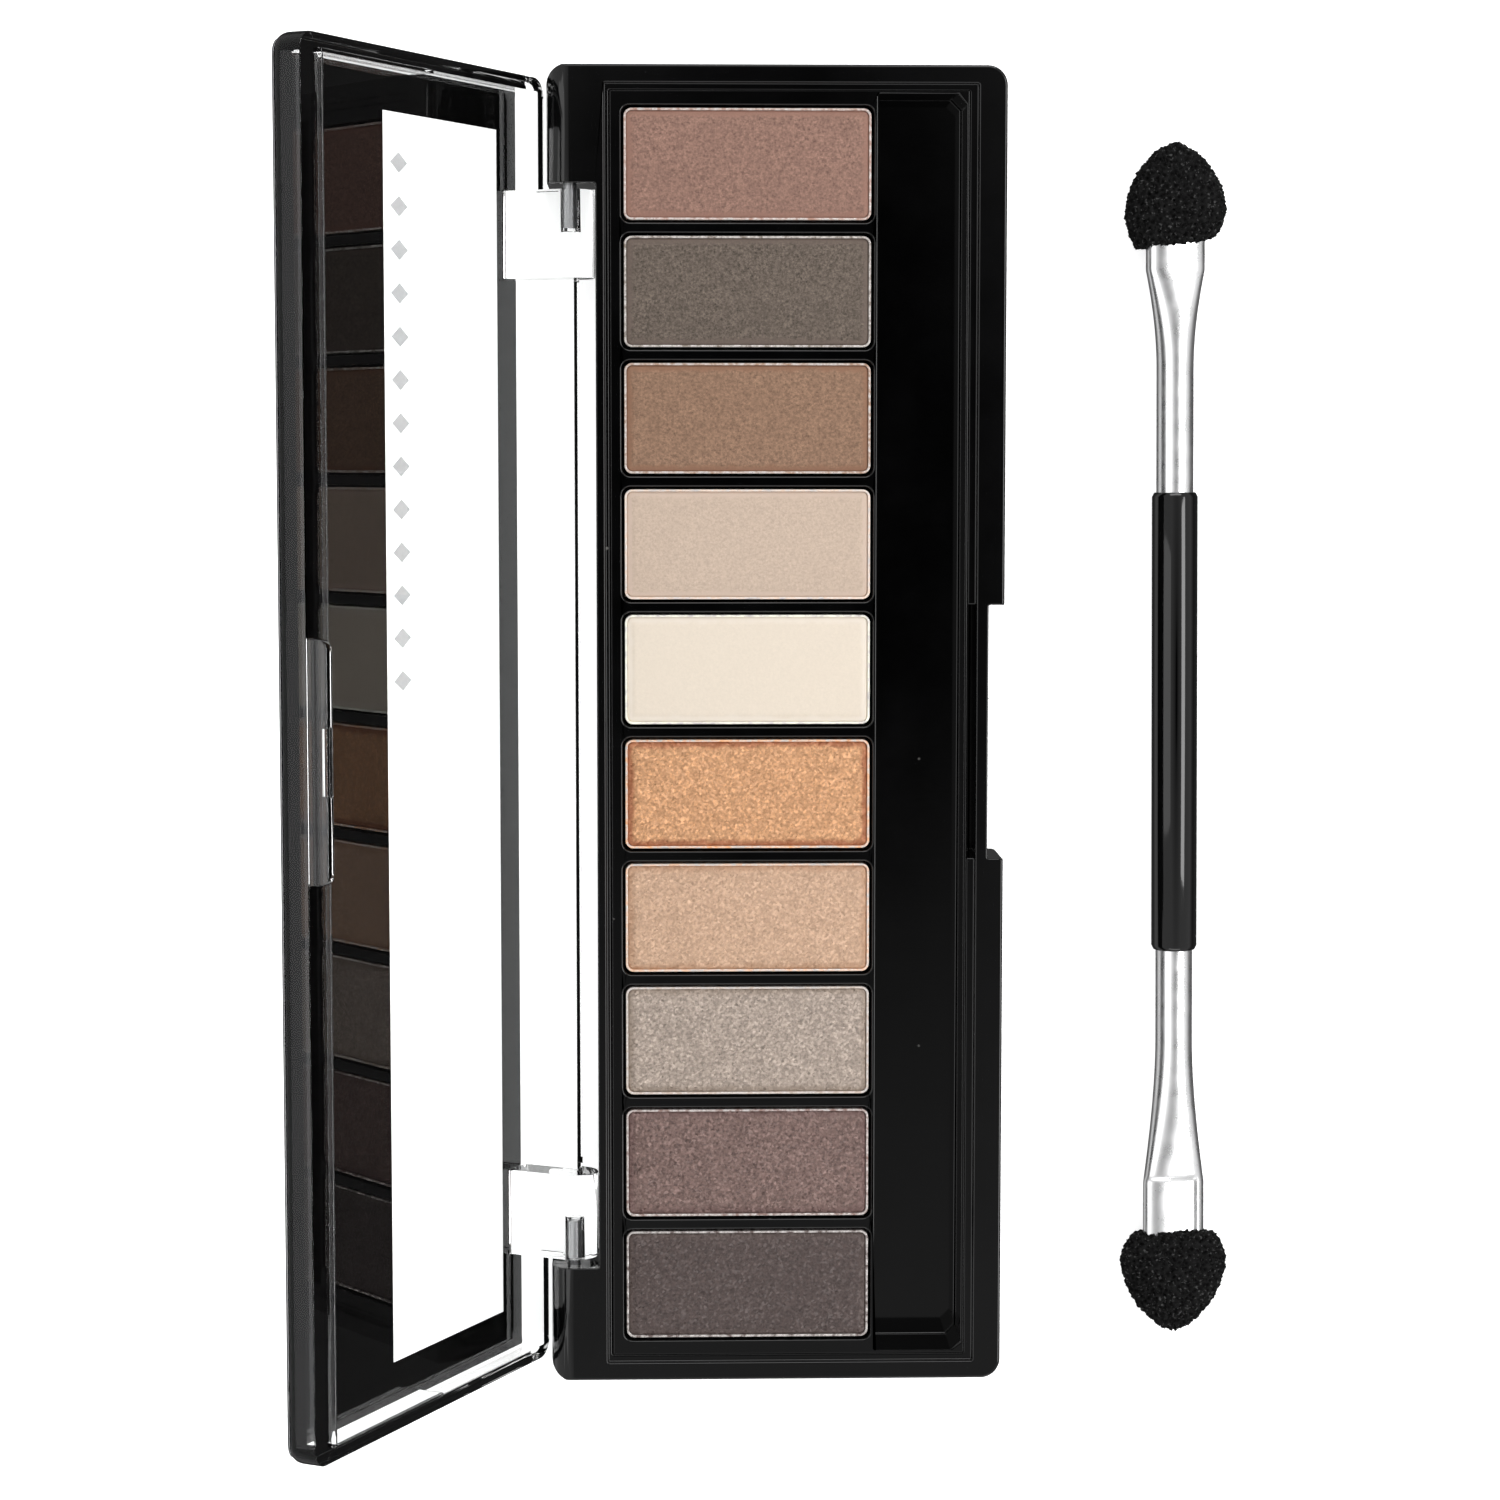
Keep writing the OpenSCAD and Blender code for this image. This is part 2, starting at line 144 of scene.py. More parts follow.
class Surface:
    """One material: a Principled shader and short calls for the nodes that feed it."""

    def __init__(self, name):
        self.material = bpy.data.materials.new(name)
        self.material.use_nodes = True
        self.tree = self.material.node_tree
        self.tree.nodes.clear()
        self.output = self.tree.nodes.new("ShaderNodeOutputMaterial")
        self.shader = self.tree.nodes.new("ShaderNodeBsdfPrincipled")
        self.link(self.shader.outputs["BSDF"], self.output.inputs["Surface"])
        self.place = self.tree.nodes.new("ShaderNodeTexCoord").outputs["Object"]

    def link(self, source, target):
        self.tree.links.new(source, target)

    def feed(self, target, value):
        """Links an output to a socket, or sets the socket's own value."""
        if isinstance(value, bpy.types.NodeSocket):
            self.link(value, target)
        else:
            target.default_value = value

    def set(self, **values):
        """Sets or links the shader's sockets, with _ for a space in a socket's name."""
        for name, value in values.items():
            self.feed(self.shader.inputs[name.replace("_", " ")], value)

    def stretched(self, scale):
        """Object coordinates stretched along each axis."""
        mapping = self.tree.nodes.new("ShaderNodeMapping")
        mapping.inputs["Scale"].default_value = scale
        self.link(self.place, mapping.inputs["Vector"])
        return mapping.outputs["Vector"]

    def noise(self, size, detail=3.0, rough=0.5, vector=None):
        """Noise of about that feature size in metres, from 0 to 1."""
        node = self.tree.nodes.new("ShaderNodeTexNoise")
        node.inputs["Scale"].default_value = 1 / size
        node.inputs["Detail"].default_value = detail
        node.inputs["Roughness"].default_value = rough
        self.link(vector or self.place, node.inputs["Vector"])
        return node.outputs["Fac"]

    def cells(self, size, output="Distance", feature="F1"):
        """Voronoi cells of about that size in metres."""
        node = self.tree.nodes.new("ShaderNodeTexVoronoi")
        node.feature = feature
        node.inputs["Scale"].default_value = 1 / size
        self.link(self.place, node.inputs["Vector"])
        return node.outputs[output]

    def spread(self, value, low, high, to_low=0.0, to_high=1.0):
        """Carries the range low..high of a value over to to_low..to_high."""
        node = self.tree.nodes.new("ShaderNodeMapRange")
        self.link(value, node.inputs["Value"])
        node.inputs["From Min"].default_value = low
        node.inputs["From Max"].default_value = high
        node.inputs["To Min"].default_value = to_low
        node.inputs["To Max"].default_value = to_high
        return node.outputs["Result"]

    def maths(self, operation, first, second):
        node = self.tree.nodes.new("ShaderNodeMath")
        node.operation = operation
        self.feed(node.inputs[0], first)
        self.feed(node.inputs[1], second)
        return node.outputs[0]

    def mix(self, factor, first, second):
        """Mixes two colours."""
        node = self.tree.nodes.new("ShaderNodeMix")
        node.data_type = "RGBA"
        self.feed(node.inputs["Factor"], factor)
        self.feed(node.inputs[6], first)
        self.feed(node.inputs[7], second)
        return node.outputs[2]

    def attribute(self, name):
        node = self.tree.nodes.new("ShaderNodeAttribute")
        node.attribute_name = name
        return node.outputs["Fac"]

    def bump(self, height, distance, strength=1.0, normal=None):
        node = self.tree.nodes.new("ShaderNodeBump")
        node.inputs["Strength"].default_value = strength
        node.inputs["Distance"].default_value = distance
        self.link(height, node.inputs["Height"])
        if normal is not None:
            self.link(normal, node.inputs["Normal"])
        return node.outputs["Normal"]

    def facets(self, size, tilt):
        """The surface's normal, tipped at random from one tiny flake to the next."""
        flakes = self.cells(size, "Color")
        centre = self.tree.nodes.new("ShaderNodeVectorMath")
        centre.operation = "SUBTRACT"
        self.link(flakes, centre.inputs[0])
        centre.inputs[1].default_value = (0.5, 0.5, 0.5)
        scale = self.tree.nodes.new("ShaderNodeVectorMath")
        scale.operation = "SCALE"
        self.link(centre.outputs[0], scale.inputs[0])
        scale.inputs["Scale"].default_value = tilt
        total = self.tree.nodes.new("ShaderNodeVectorMath")
        total.operation = "ADD"
        own = self.tree.nodes.new("ShaderNodeNewGeometry")
        self.link(own.outputs["Normal"], total.inputs[0])
        self.link(scale.outputs[0], total.inputs[1])
        unit = self.tree.nodes.new("ShaderNodeVectorMath")
        unit.operation = "NORMALIZE"
        self.link(total.outputs[0], unit.inputs[0])
        return unit.outputs[0]

    def dust(self, size, share):
        """Sparse specks of dust, 1 on a speck and 0 off it."""
        distance = self.cells(size)
        pick = self.noise(size * 2.3, 0.0)
        speck = self.spread(distance, 0.05, 0.09, 1.0, 0.0)
        chosen = self.spread(pick, 1 - share, 1 - share + 0.02)
        return self.maths("MULTIPLY", speck, chosen)

    def let_lamps_through(self, tint):
        """Lets light pass a clear piece, so that it casts no dark shadow."""
        path = self.tree.nodes.new("ShaderNodeLightPath")
        clear = self.tree.nodes.new("ShaderNodeBsdfTransparent")
        clear.inputs["Color"].default_value = tint
        either = self.tree.nodes.new("ShaderNodeMixShader")
        self.link(path.outputs["Is Shadow Ray"], either.inputs[0])
        self.link(self.shader.outputs["BSDF"], either.inputs[1])
        self.link(clear.outputs["BSDF"], either.inputs[2])
        self.link(either.outputs["Shader"], self.output.inputs["Surface"])


# ------------------------------------------------------------------ materials


def gloss_black(name, tone, rough, dust_share=0.32):
    """Polished black moulding with smears, hair scratches and specks of dust."""
    look = Surface(name)
    smears = look.noise(9 * MM, 4.0, 0.6)
    scratches = look.noise(0.5 * MM, 2.0, 0.5, look.stretched((0.12, 1.0, 1.0)))
    specks = look.dust(2.5 * MM, dust_share)
    black = look.mix(look.spread(smears, 0.35, 0.7), scaled(tone, 0.7), scaled(tone, 1.5))
    colour = look.mix(look.maths("MULTIPLY", specks, 0.35), black, linear(150, 148, 144))
    smeared = look.spread(smears, 0.3, 0.75, rough * 0.75, rough * 1.5)
    roughness = look.maths("ADD", smeared, look.maths("MULTIPLY", specks, 0.3))
    height = look.maths("ADD", scratches, look.maths("MULTIPLY", specks, 2.0))
    look.set(Base_Color=colour, Roughness=roughness)
    look.set(Normal=look.bump(height, 0.0012 * MM, 0.5))
    return look.material


def pan_metal(name, tint):
    """Thin pressed sheet with drawing marks and powder rubbed into it."""
    look = Surface(name)
    rubbed = look.spread(look.noise(0.7 * MM, 4.0, 0.65), 0.38, 0.62)
    marks = look.noise(0.12 * MM, 2.0, 0.5)
    colour = look.mix(rubbed, (0.86, 0.82, 0.79, 1.0), scaled(tint, 1.35))
    look.set(Base_Color=colour, Metallic=look.spread(rubbed, 0.0, 1.0, 0.85, 0.15))
    look.set(Roughness=look.spread(rubbed, 0.0, 1.0, 0.34, 0.7))
    look.set(Normal=look.bump(marks, 0.01 * MM, 0.4))
    return look.material


def pressed_powder(name, powder):
    """Pressed powder: fine grain when matte, tipped flakes where it shimmers."""
    look = Surface(name)
    shimmer = powder["shimmer"]
    grain = powder["grain"]
    colour = scaled(powder["colour"], POWDER_SHADE)
    fine = look.noise(0.27 * MM, 5.0, 0.72)
    patches = look.noise(2.6 * MM, 3.0, 0.5)
    border = look.maths("MULTIPLY", look.attribute("border"), 0.8)
    body = look.mix(look.spread(fine, 0.3, 0.7),
                    scaled(colour, 1 - grain * 2),
                    scaled(colour, 1 + grain * 2))
    body = look.mix(look.spread(patches, 0.35, 0.7, 0.0, 0.35), body,
                    scaled(colour, 1 - grain * 0.5))
    if shimmer:
        flakes = look.spread(look.cells(0.30 * MM, "Color"), 0.5, 0.9, 0.0, 0.9 * shimmer)
        body = look.mix(flakes, body, scaled(colour, 1.0 + 0.75 * shimmer))
    look.set(Base_Color=look.mix(border, body, scaled(powder["border"], POWDER_SHADE)))
    height = look.maths("ADD", fine, look.maths("MULTIPLY", look.noise(0.5 * MM, 2.0), 0.6))
    if shimmer:
        tipped = look.facets((0.20 + 0.06 * shimmer) * MM, 0.45 + 0.5 * shimmer)
        look.set(Normal=look.bump(height, 0.02 * MM, 0.5, tipped))
        look.set(Metallic=0.4 * shimmer, Roughness=0.48)
    else:
        look.set(Normal=look.bump(height, 0.022 * MM, 0.55), Specular_IOR_Level=0.25)
        look.set(Roughness=look.spread(fine, 0, 1, 0.8, 0.98))
    return look.material


def clear_plastic():
    """Clear polished moulding with faint flow marks."""
    look = Surface("clear_lid")
    flow = look.noise(14 * MM, 2.0, 0.5, look.stretched((1.0, 0.35, 1.0)))
    look.set(Base_Color=(0.985, 0.99, 0.988, 1.0), Transmission_Weight=1.0, IOR=1.47)
    look.set(Specular_Tint=(0.55, 0.55, 0.56, 1.0))
    look.set(Roughness=look.spread(flow, 0.35, 0.75, 0.0, 0.025))
    look.set(Normal=look.bump(flow, 0.02 * MM, 0.25))
    look.let_lamps_through((0.93, 0.94, 0.94, 1.0))
    return look.material


def lid_black(name, gloss):
    """Opaque black print with the faint mesh of the screen that laid it down."""
    look = Surface(name)
    mesh = look.noise(0.14 * MM, 1.0, 0.4)
    patches = look.noise(7 * MM, 3.0, 0.5)
    ink = look.mix(patches, (0.0012, 0.0012, 0.0013, 1), (0.0030, 0.0029, 0.0028, 1))
    look.set(Base_Color=ink, Specular_IOR_Level=gloss)
    look.set(Roughness=look.spread(mesh, 0.3, 0.7, 0.22, 0.32))
    look.set(Normal=look.bump(mesh, 0.003 * MM, 0.3))
    return look.material


def lid_grey():
    """Pale grey print, a little uneven in its cover."""
    look = Surface("lid_grey_print")
    cover = look.noise(0.35 * MM, 3.0, 0.6)
    look.set(Base_Color=look.mix(cover, linear(182, 183, 185), linear(202, 203, 204)))
    look.set(Roughness=look.spread(cover, 0.3, 0.7, 0.4, 0.55))
    return look.material


def bright_metal():
    """Bright drawn tube with long polishing lines."""
    look = Surface("stem_bright_metal")
    lines = look.noise(0.10 * MM, 3.0, 0.6, look.stretched((1.0, 0.03, 1.0)))
    clouds = look.noise(2.2 * MM, 3.0, 0.5)
    colour = look.mix(clouds, (0.90, 0.905, 0.91, 1), (0.97, 0.972, 0.975, 1))
    look.set(Base_Color=colour, Metallic=1.0)
    look.set(Roughness=look.spread(clouds, 0.3, 0.7, 0.24, 0.34))
    look.set(Normal=look.bump(lines, 0.004 * MM, 0.2))
    return look.material


def drawn_steel():
    """Drawn wire of the hinge pins."""
    look = Surface("pin_drawn_steel")
    lines = look.noise(0.08 * MM, 2.0, 0.5, look.stretched((1.0, 0.04, 1.0)))
    colour = look.mix(lines, (0.38, 0.38, 0.39, 1), (0.56, 0.56, 0.57, 1))
    look.set(Base_Color=colour, Metallic=1.0)
    look.set(Roughness=look.spread(lines, 0.3, 0.7, 0.25, 0.4))
    return look.material


def black_foam():
    """Open-cell foam: painted shade in the middle of each pore between fine walls, and painted glints
    on a few walls.
    """
    look = Surface("tip_black_foam")
    pores = look.cells(0.55 * MM)
    walls = look.cells(0.25 * MM, "Distance", "DISTANCE_TO_EDGE")
    # Painted glints: where this noise is high, the foam's colour turns light grey
    painted_glints = look.spread(look.noise(0.40 * MM, 2.0), 0.60, 0.70)
    # Painted shade: the colour darkens towards the middle of each pore
    dark = look.mix(look.spread(pores, 0.15, 0.75),
                    (0.0006, 0.0006, 0.0006, 1), (0.0090, 0.0090, 0.0090, 1))
    colour = look.mix(look.maths("MULTIPLY", painted_glints, 0.5), dark, (0.11, 0.11, 0.11, 1))
    look.set(Base_Color=colour)
    look.set(Roughness=look.spread(pores, 0.0, 1.0, 0.95, 0.75), Specular_IOR_Level=0.08)
    look.set(Normal=look.bump(look.maths("ADD", pores, walls), 0.16 * MM, 0.8))
    return look.material


def set_glue():
    """Glue that has set cloudy."""
    look = Surface("glue_set")
    cloud = look.noise(0.8 * MM, 3.0, 0.6)
    look.set(Base_Color=look.mix(cloud, (0.62, 0.55, 0.40, 1), (0.74, 0.69, 0.55, 1)))
    look.set(Roughness=look.spread(cloud, 0.3, 0.7, 0.25, 0.5))
    look.set(Normal=look.bump(cloud, 0.05 * MM, 0.5))
    return look.material


def coated_paper():
    """Blank label with the fibres just showing."""
    look = Surface("label_coated_paper")
    fibres = look.noise(0.4 * MM, 5.0, 0.7)
    look.set(Base_Color=look.mix(fibres, (0.76, 0.75, 0.72, 1), (0.86, 0.85, 0.83, 1)))
    look.set(Roughness=look.spread(fibres, 0.3, 0.7, 0.4, 0.6))
    look.set(Normal=look.bump(fibres, 0.01 * MM, 0.3))
    return look.material


# ------------------------------------------------------------------ mesh kit

# Edges of the carried-over nodes that turn by more than this get a bevel
SHARP_DEGREES = 35
# Points nearer than this are welded before a bevel
WELD_REACH = 0.001 * MM


def add_piece(name, points, faces, material, body):
    """A new smooth-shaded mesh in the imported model's frame that rides on a body."""
    mesh = bpy.data.meshes.new(name)
    mesh.from_pydata([tuple(point) for point in points], [], faces)
    mesh.update()
    mesh.materials.append(material)
    mesh.shade_smooth()
    piece = bpy.data.objects.new(name, mesh)
    scene.collection.objects.link(piece)
    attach(piece, body)
    return piece


def sharpen(piece, degrees):
    """Keeps the edges sharp that turn by more than this angle."""
    piece.data.set_sharp_from_angle(angle=math.radians(degrees))


def paint(node, material):
    """Gives a carried-over CAD node its material."""
    for slot in nodes[node].material_slots:
        slot.material = material


def soften(node, width, segments=2):
    """Rounds a carried-over CAD node's moulded edges."""
    piece = nodes[node]
    weld = piece.modifiers.new("weld", "WELD")
    weld.merge_threshold = WELD_REACH
    bevel = piece.modifiers.new("soft_edges", "BEVEL")
    bevel.width = width
    bevel.segments = segments
    bevel.limit_method = "ANGLE"
    bevel.angle_limit = math.radians(SHARP_DEGREES)
    bevel.use_clamp_overlap = False
    bevel.miter_outer = "MITER_ARC"
    bevel.harden_normals = True


def smooth_step(low, high, value):
    """Eased share of the way from low to high, held at 0 and 1 outside them."""
    share = min(max((value - low) / (high - low), 0.0), 1.0)
    return share * share * (3 - 2 * share)


def loft(rings):
    """Points and faces of a closed tube through rings of equal length, capped."""
    count = len(rings[0])
    points = [point for ring in rings for point in ring]
    faces = []
    for row in range(len(rings) - 1):
        for step in range(count):
            after = (step + 1) % count
            faces.append((row * count + step, row * count + after,
                          (row + 1) * count + after, (row + 1) * count + step))
    faces.append(tuple(reversed(range(count))))
    last = (len(rings) - 1) * count
    faces.append(tuple(range(last, last + count)))
    return points, faces


# ------------------------------------------------------------------ powders

# A cake's top: the width of its mesh's cells, its corners and its pressed border
CAKE_CELL = 0.22 * MM
CAKE_CORNER = 0.65 * MM
BORDER_WIDTH = 0.62 * MM
BORDER_DEPTH = 0.11 * MM
CAKE_BEVEL_WIDTH = 0.22 * MM
CAKE_BEVEL_DEPTH = 0.13 * MM
CRUMB_DEPTH = 0.05 * MM
SWELL_DEPTH = 0.012 * MM
# How much a shimmering cake's top is rougher than a matte one's
GRIT_DEPTH = 0.004 * MM
SHIMMER_GRIT_DEPTH = 0.006 * MM
# Noise cells to a metre
CRUMB_CELLS = 2600
SWELL_CELLS = 240
GRIT_CELLS = 4200
BORDER_CELLS = 900
# Loose grains round each cake, and the share of them along its two long sides
GRAIN_COUNT = 46
LONG_SIDE_SHARE = 0.7
GRAIN_SEED = 40
# How far the grains take on the border's colour
GRAIN_BORDER = 0.4


def rounded(x, y, half_x, half_y, radius):
    """Carries a point of a rectangle over to the rectangle with rounded corners."""
    past_x = abs(x) - (half_x - radius)
    past_y = abs(y) - (half_y - radius)
    if past_x <= 0 or past_y <= 0:
        return x, y
    a = past_x / radius
    b = past_y / radius
    new_x = half_x - radius + radius * a * math.sqrt(1 - b * b / 2)
    new_y = half_y - radius + radius * b * math.sqrt(1 - a * a / 2)
    return math.copysign(new_x, x), math.copysign(new_y, y)


def cake_drop(edge, spot, shimmer):
    """How far the cake's top lies below its highest level, edge metres from its side."""
    border = BORDER_DEPTH * (1 - smooth_step(BORDER_WIDTH * 0.75, BORDER_WIDTH * 1.25, edge))
    crumbs = noise.fractal(spot * CRUMB_CELLS, 1.0, 2.0, 3)
    near = 1 - smooth_step(0.0, BORDER_WIDTH, edge)
    bevel = CAKE_BEVEL_DEPTH * (1 - smooth_step(0.0, CAKE_BEVEL_WIDTH, edge))
    swell = SWELL_DEPTH * (1 + noise.noise(spot * SWELL_CELLS))
    grit = GRIT_DEPTH + SHIMMER_GRIT_DEPTH * shimmer
    rough = grit * (1 + noise.noise(spot * GRIT_CELLS))
    return border + bevel + swell + rough + near * CRUMB_DEPTH * (0.5 + 0.5 * crumbs)


def grains(rng, box_low, box_high, rim_top, count):
    """Loose grains that lie on the pan's rim."""
    points = []
    faces = []
    for _ in range(count):
        size = rng.uniform(0.02, 0.055) * MM
        along = rng.random()
        sideways = rng.uniform(-0.02, 0.22) * MM
        if rng.random() < LONG_SIDE_SHARE:
            x = box_low.x + along * (box_high.x - box_low.x)
            y = rng.choice((box_low.y - sideways, box_high.y + sideways))
        else:
            x = rng.choice((box_low.x - sideways, box_high.x + sideways))
            y = box_low.y + along * (box_high.y - box_low.y)
        centre = Vector((x, y, rim_top + size * 0.5))
        first = len(points)
        for direction in ((1, 0, 0), (0, 1, 0), (-1, 0, 0), (0, -1, 0), (0, 0, 1), (0, 0, -1)):
            points.append(centre + Vector(direction) * size * rng.uniform(0.7, 1.3))
        for turn in range(4):
            after = (turn + 1) % 4
            faces.append((first + turn, first + after, first + 4))
            faces.append((first + after, first + turn, first + 5))
    return points, faces


def cake_mesh(index, low, high):
    """Points and faces of a cake in its box, and how far each point is in the border."""
    shimmer = POWDERS[index]["shimmer"]
    centre = (low + high) / 2
    half_x = (high.x - low.x) / 2
    half_y = (high.y - low.y) / 2
    columns = round(2 * half_x / CAKE_CELL)
    rows = round(2 * half_y / CAKE_CELL)
    points = []
    border = []
    for row in range(rows + 1):
        for column in range(columns + 1):
            flat_x = half_x * (2 * column / columns - 1)
            flat_y = half_y * (2 * row / rows - 1)
            edge = min(half_x - abs(flat_x), half_y - abs(flat_y))
            x, y = rounded(flat_x, flat_y, half_x, half_y, CAKE_CORNER)
            spot = Vector((centre.x + x, centre.y + y, index))
            points.append((spot.x, spot.y, high.z - cake_drop(edge, spot, shimmer)))
            uneven = BORDER_WIDTH * (1 + 0.5 * noise.noise(spot * BORDER_CELLS))
            border.append(1 - smooth_step(uneven * 0.6, uneven * 1.3, edge))
    across = columns + 1
    faces = [(row * across + column, row * across + column + 1,
              (row + 1) * across + column + 1, (row + 1) * across + column)
             for row in range(rows) for column in range(columns)]
    rim = list(range(columns))
    rim += [row * across + columns for row in range(rows)]
    rim += [rows * across + column for column in range(columns, 0, -1)]
    rim += [row * across for row in range(rows, 0, -1)]
    first = len(points)
    for place in rim:
        points.append((points[place][0], points[place][1], low.z))
        border.append(1.0)
    for step in range(len(rim)):
        after = (step + 1) % len(rim)
        faces.append((rim[after], rim[step], first + step, first + after))
    faces.append(tuple(reversed(range(first, first + len(rim)))))
    return points, faces, border


def powder_cake(index):
    """Pressed cake with a crumbly bevel and a pressed border, replacing its CAD node."""
    node = f"powder_{index + 1:02d}"
    low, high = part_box(node)
    points, faces, border = cake_mesh(index, low, high)
    rim_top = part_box(f"pan_{index + 1:02d}")[1].z
    rng = random.Random(GRAIN_SEED + index)
    loose, loose_faces = grains(rng, low, high, rim_top, GRAIN_COUNT)
    faces += [tuple(corner + len(points) for corner in face) for face in loose_faces]
    points += loose
    border += [GRAIN_BORDER] * len(loose)
    material = pressed_powder(f"pressed_powder_{index + 1:02d}", POWDERS[index])
    piece = add_piece(f"powder_cake_{index + 1:02d}", points, faces, material, "case")
    values = piece.data.attributes.new("border", "FLOAT", "POINT")
    values.data.foreach_set("value", border)
    sharpen(piece, 50)
    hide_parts(node)


# ------------------------------------------------------------------ lid


def shut_box(node):
    """Lowest and highest corner of a lid node with the lid shut."""
    back = OPENING.inverted()
    places = [back @ vertex.co for vertex in nodes[node].data.vertices]
    low = Vector([min(place[axis] for place in places) for axis in range(3)])
    high = Vector([max(place[axis] for place in places) for axis in range(3)])
    return low, high


def lid_ring(half_x, half_y, top, wrap, proud):
    """Closed ring round the lid where the front edge's surface has turned by wrap.

    The print wraps less far over the two ends, and least over the rear edge.
    """
    ring = []
    corner_steps = 8
    for corner, (side_x, side_y) in enumerate(((1, 1), (-1, 1), (-1, -1), (1, -1))):
        first = WRAP_SHARES[corner]
        change = WRAP_SHARES[corner + 1] - first
        for step in range(corner_steps + 1):
            share = first + change * smooth_step(0, 1, step / corner_steps)
            here = wrap * share
            reach = (LID_EDGE_RADIUS + proud) * math.sin(here)
            radius = LID_PLAN_RADIUS - LID_EDGE_RADIUS + reach
            height = top - LID_EDGE_RADIUS + (LID_EDGE_RADIUS + proud) * math.cos(here)
            turn = math.radians(90) * (corner + step / corner_steps)
            ring.append(Vector((side_x * (half_x - LID_PLAN_RADIUS) + radius * math.cos(turn),
                                side_y * (half_y - LID_PLAN_RADIUS) + radius * math.sin(turn),
                                height)))
    return ring


def print_skin(half_x, half_y, top, proud):
    """One face of the print: its rings over the rounded edges, and the window's corners."""
    steps = 6
    rings = [lid_ring(half_x, half_y, top, PRINT_WRAP * (1 - step / steps), proud)
             for step in range(steps + 1)]
    window = [Vector((x, y, top + proud)) for x, y in (
        (WINDOW_LEFT, -WINDOW_HALF_LENGTH), (WINDOW_LEFT, WINDOW_HALF_LENGTH),
        (WINDOW_RIGHT, WINDOW_HALF_LENGTH), (WINDOW_RIGHT, -WINDOW_HALF_LENGTH))]
    points = [point for ring in rings for point in ring] + window
    count = len(rings[0])
    faces = []
    for row in range(steps):
        for step in range(count):
            after = (step + 1) % count
            faces.append((row * count + step, row * count + after,
                          (row + 1) * count + after, (row + 1) * count + step))
    inner = steps * count
    for triangle in geometry.tessellate_polygon((rings[-1], window)):
        faces.append(tuple(inner + corner for corner in triangle))
    return points, faces, count


def lid_print():
    """Black print that wraps over the lid's rounded edges, with its window."""
    low, high = shut_box("lid_shell")
    half_x = (high.x - low.x) / 2
    half_y = (high.y - low.y) / 2
    outside, outer_faces, count = print_skin(half_x, half_y, high.z, PRINT_PROUD)
    inside, inner_faces, _ = print_skin(half_x, half_y, high.z, -PRINT_SUNK)
    total = len(outside)
    faces = [outward(face, outside) for face in outer_faces]
    split = len(faces)
    for face in inner_faces:
        faces.append(tuple(corner + total for corner in reversed(outward(face, inside))))
    for step in range(count):
        after = (step + 1) % count
        faces.append((after, step, total + step, total + after))
    for step in range(4):
        here = total - 4 + step
        after = total - 4 + (step + 1) % 4
        faces.append((after, here, total + here, total + after))
    points = [OPENING @ point for point in outside + inside]
    piece = add_piece("lid_black_print_film", points, faces,
                      lid_black("lid_black_print_outer_face", 1.0), "lid")
    # The face that is bonded to the clear lid has no gloss of its own
    piece.data.materials.append(lid_black("lid_black_print_bonded_face", 0.0))
    for face in piece.data.polygons[split:split + len(inner_faces)]:
        face.material_index = 1
    sharpen(piece, 40)
    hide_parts("lid_print")


def outward(face, points):
    """The face with its corners in the order that makes it look up."""
    a, b, c = (points[corner] for corner in face[:3])
    if (b - a).cross(c - a).z < 0:
        return tuple(reversed(face))
    return face


def lid_motif():
    """Row of plain lozenges printed in the window, with softly raised edges."""
    top = shut_box("lid_shell")[1].z
    levels = ((-PRINT_SUNK, 1.0), (PRINT_PROUD * 0.6, 1.0), (PRINT_PROUD, 0.96))
    points = []
    faces = []
    for index in range(MOTIF_COUNT):
        y = MOTIF_FIRST_Y - index * MOTIF_PITCH
        rings = []
        for lift, share in levels:
            rings.append([OPENING @ Vector((MOTIF_X + share * corner_x * MOTIF_LONG / 2,
                                            y + share * corner_y * MOTIF_SHORT / 2,
                                            top + lift))
                          for corner_x, corner_y in ((1, 0), (0, 1), (-1, 0), (0, -1))])
        part, part_faces = loft(rings)
        faces += [tuple(corner + len(points) for corner in face) for face in part_faces]
        points += part
    piece = add_piece("lid_grey_lozenges", points, faces, lid_grey(), "lid")
    sharpen(piece, 30)
    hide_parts("lid_motif")


# ------------------------------------------------------------------ applicator

# Each stem, in millimetres from the applicator's middle: where it starts inside the handle,
# where it flares from, where it is at full width and where it ends. Then its half width
# there, the power of its flare, and how deep its crimp's ledge is
STEMS = {
    "upper": {"side": 1, "hidden": 17.1, "flare": 43.0, "straight": 54.2, "end": 57.6,
              "half_width": 3.40, "curve": 2.0, "ledge": 0.0},
    "lower": {"side": -1, "hidden": 11.4, "flare": 34.0, "straight": 50.6, "end": 56.8,
              "half_width": 3.58, "curve": 1.75, "ledge": 0.3},
}

# Each tip, in millimetres: where it starts and ends, how far its widest place is from its
# point, and its half width there. Then the powers of its outline before and after that
# place, how much its base leans, and its share of width when pressed in the trough
TIPS = {
    "upper": {"side": 1, "start": 56.9, "end": 68.4, "crown": 7.2, "half_width": 5.6,
              "point": (1.7, 0.62), "taper": (2.4, 0.28), "slant": 0.15, "keep": 0.69},
    "lower": {"side": -1, "start": 56.2, "end": 68.0, "crown": 7.8, "half_width": 6.0,
              "point": (1.6, 0.60), "taper": (2.6, 0.33), "slant": 0.0, "keep": 0.65},
}

TIP_HALF_THICKNESS = 2.55 * MM
# The tips are pressed flat on the table, and in the same way on the trough's floor
TIP_REACH = 2.83 * MM
TIP_SQUARENESS = 2.15
# Nearer to its point than this many millimetres, a tip gets no narrower
BLUNT = 0.14
# A tip gets thinner towards its point by this power of its width
TIP_THINNING = 0.75
